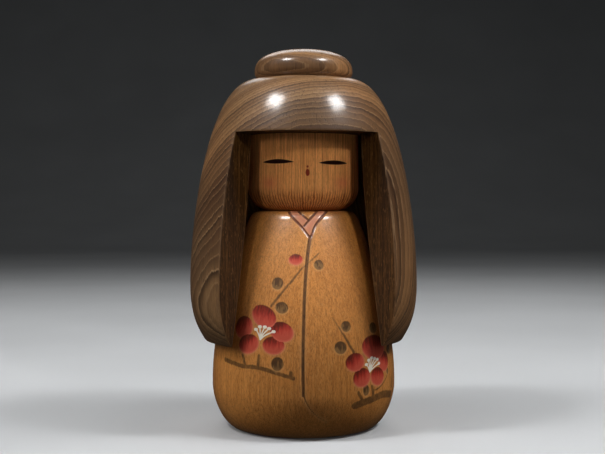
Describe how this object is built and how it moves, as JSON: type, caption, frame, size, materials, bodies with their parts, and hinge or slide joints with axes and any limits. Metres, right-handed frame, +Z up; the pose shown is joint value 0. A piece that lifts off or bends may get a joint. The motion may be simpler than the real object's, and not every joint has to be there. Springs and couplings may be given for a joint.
{
  "type": "kokeshi doll",
  "caption": "Turned wooden kokeshi doll with a bell-shaped body, a turning head inside a dark sawn-open hair shell, and a bun on top.",
  "frame": {"origin": "centre of the round base, on the surface that the doll stands on", "axes": "+Z up along the turning axis, the face looks along -Y, and +X is on the right as one faces the doll"},
  "size_m": [0.1282, 0.1165, 0.212],
  "materials": {
    "body_wood": "satin waxed, painted blossoms",
    "face_wood": "satin waxed",
    "hair_wood": "satin waxed dark wood",
    "dowel_wood": "bare"
  },
  "bodies": {
    "doll_body": {"body": "body_wood", "neck_dowel": "dowel_wood"},
    "doll_head": {"head": "face_wood", "hair_shell": "hair_wood", "crown_dowel": "dowel_wood", "bun": "hair_wood"}
  },
  "joints": [
    {"name": "head_turn", "type": "hinge", "parent": "doll_body", "child": "doll_head", "pos_m": [0, 0, 0.121], "axis": [0, 0, 1], "continuous": true}
  ]
}
